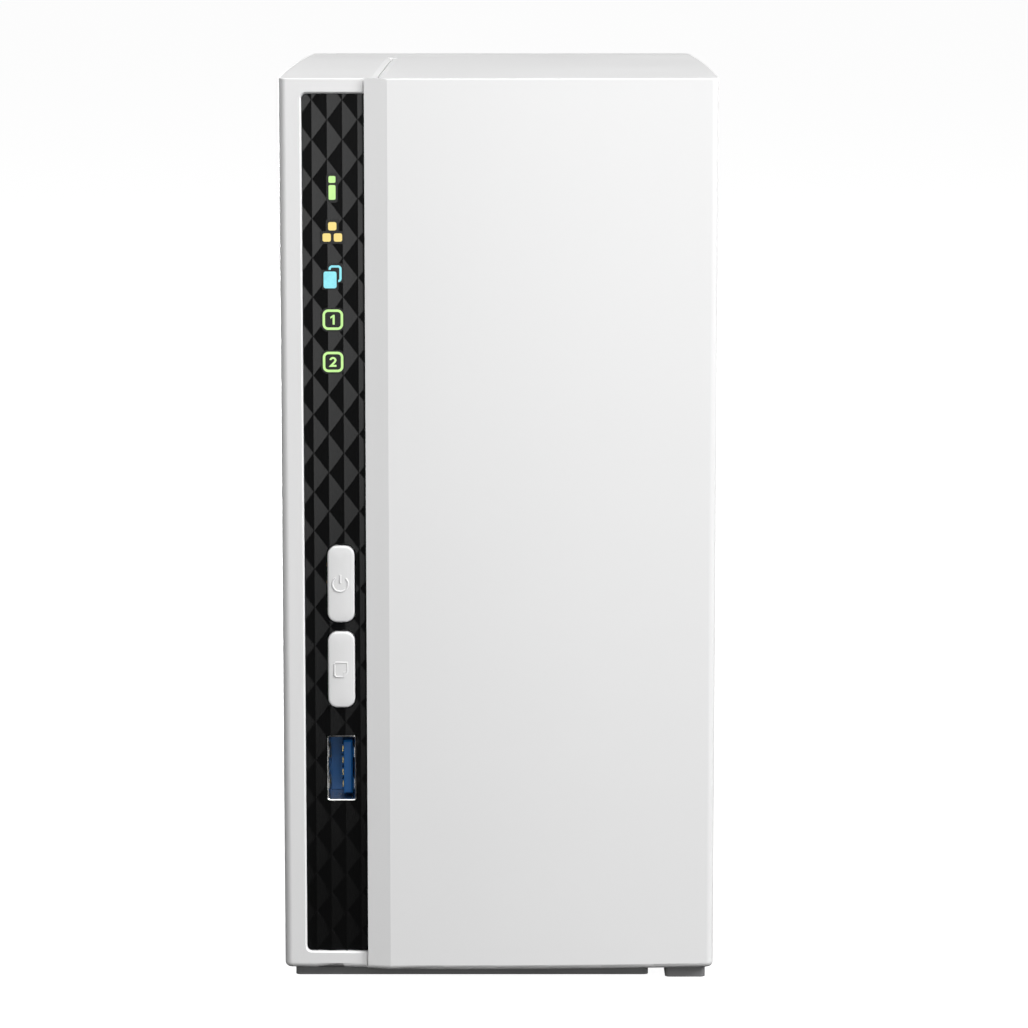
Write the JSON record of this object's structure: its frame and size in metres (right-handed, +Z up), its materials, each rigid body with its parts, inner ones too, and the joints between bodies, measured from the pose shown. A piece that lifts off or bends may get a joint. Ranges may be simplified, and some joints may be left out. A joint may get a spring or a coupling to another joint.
{
  "type": "network attached storage",
  "caption": "Upright two-bay storage server with a wrap-round sliding cover, a faceted strip of lit icons and push buttons, and a fan-cooled rear panel with sockets.",
  "frame": {"origin": "on the table under the middle of the unit's outline, at the soles of the feet", "axes": "+Z up, front facing -Y, +X to the right as seen from the front"},
  "size_m": [0.0902, 0.1562, 0.1886],
  "materials": {
    "white_casing": "fine satin moulded texture",
    "white_button": "satin",
    "black_panel": "semi-gloss faceted",
    "green_light": "clear inlay, lit",
    "amber_light": "clear inlay, lit",
    "blue_light": "clear inlay, lit",
    "clear_guide": "clear acrylic",
    "lamp_white": "moulded lamp body",
    "foot_rubber": "matt",
    "rear_paint": "fine textured powder coat",
    "sheet_steel": "zinc plated",
    "socket_steel": "bright",
    "socket_blue": "satin",
    "socket_black": "satin",
    "contact_gold": "bright",
    "board_green": "solder mask",
    "chip_black": "fine matt",
    "sink_aluminium": "anodised",
    "drive_casting": "die cast",
    "drive_cover": "satin",
    "fan_plastic": "glass filled, satin",
    "bearing_bronze": "sintered",
    "shaft_steel": "ground",
    "coil_copper": "enamelled wire",
    "screw_steel": "nickel plated",
    "lead_black": "sleeved",
    "cell_steel": "satin",
    "connector_white": "satin",
    "switch_black": "satin"
  },
  "bodies": {
    "chassis": {"main_shell": "white_casing", "base_feet": "foot_rubber", "led_panel": "black_panel", "status_lens": "green_light", "network_lens": "amber_light", "copy_lens": "blue_light", "drive_1_lens": "green_light", "drive_2_lens": "green_light", "light_guide": "clear_guide", "led_chips": "lamp_white", "push_switches": "switch_black", "front_usb_shell": "socket_steel", "front_usb_tongue": "socket_blue", "front_usb_contacts": "contact_gold", "rear_usb_shells": "socket_steel", "rear_usb_tongues": "socket_black", "lan_port_shell": "socket_steel", "lan_port_insert": "socket_black", "lan_port_contacts": "contact_gold", "dc_jack_housing": "socket_black", "dc_jack_pin": "socket_steel", "mainboard": "board_green", "processor": "chip_black", "heatsink": "sink_aluminium", "memory_chips": "chip_black", "lan_transformer": "chip_black", "board_capacitors": "sink_aluminium", "cell_holder": "chip_black", "coin_cell": "cell_steel", "rear_panel": "rear_paint", "rear_screws": "screw_steel", "cover_screw": "screw_steel", "inner_screws": "screw_steel", "tray_screws": "screw_steel", "fan_frame": "fan_plastic", "fan_bearing": "bearing_bronze", "fan_coil": "coil_copper", "fan_lead": "lead_black", "cage_floor": "sheet_steel", "cage_walls": "sheet_steel", "backplane_board": "board_green", "board_connectors": "connector_white", "sata_connectors": "chip_black", "drive_1_case": "drive_casting", "drive_1_lid": "drive_cover", "drive_1_board": "board_green", "drive_1_tray": "sheet_steel", "drive_2_case": "drive_casting", "drive_2_lid": "drive_cover", "drive_2_board": "board_green", "drive_2_tray": "sheet_steel"},
    "cover": {"cover_shell": "white_casing", "cover_foot": "foot_rubber"},
    "power_button": {"power_button": "white_button", "power_plunger": "switch_black"},
    "copy_button": {"copy_button": "white_button", "copy_plunger": "switch_black"},
    "reset_button": {"reset_button": "switch_black"},
    "fan_rotor": {"fan_rotor": "fan_plastic", "fan_shaft": "shaft_steel"}
  },
  "joints": [
    {"name": "cover_slide", "type": "slide", "parent": "chassis", "child": "cover", "axis": [0, -1, 0], "range_m": [0, 0.115]},
    {"name": "power_press", "type": "slide", "parent": "chassis", "child": "power_button", "axis": [0, 1, 0], "range_m": [0, 0.0006], "stiffness_N_per_m": 900},
    {"name": "copy_press", "type": "slide", "parent": "chassis", "child": "copy_button", "axis": [0, 1, 0], "range_m": [0, 0.0006], "stiffness_N_per_m": 900},
    {"name": "reset_press", "type": "slide", "parent": "chassis", "child": "reset_button", "axis": [0, -1, 0], "range_m": [0, 0.0005], "stiffness_N_per_m": 900},
    {"name": "fan_spin", "type": "hinge", "parent": "chassis", "child": "fan_rotor", "pos_m": [0, 0.06, 0.14117], "axis": [0, 1, 0], "continuous": true}
  ]
}
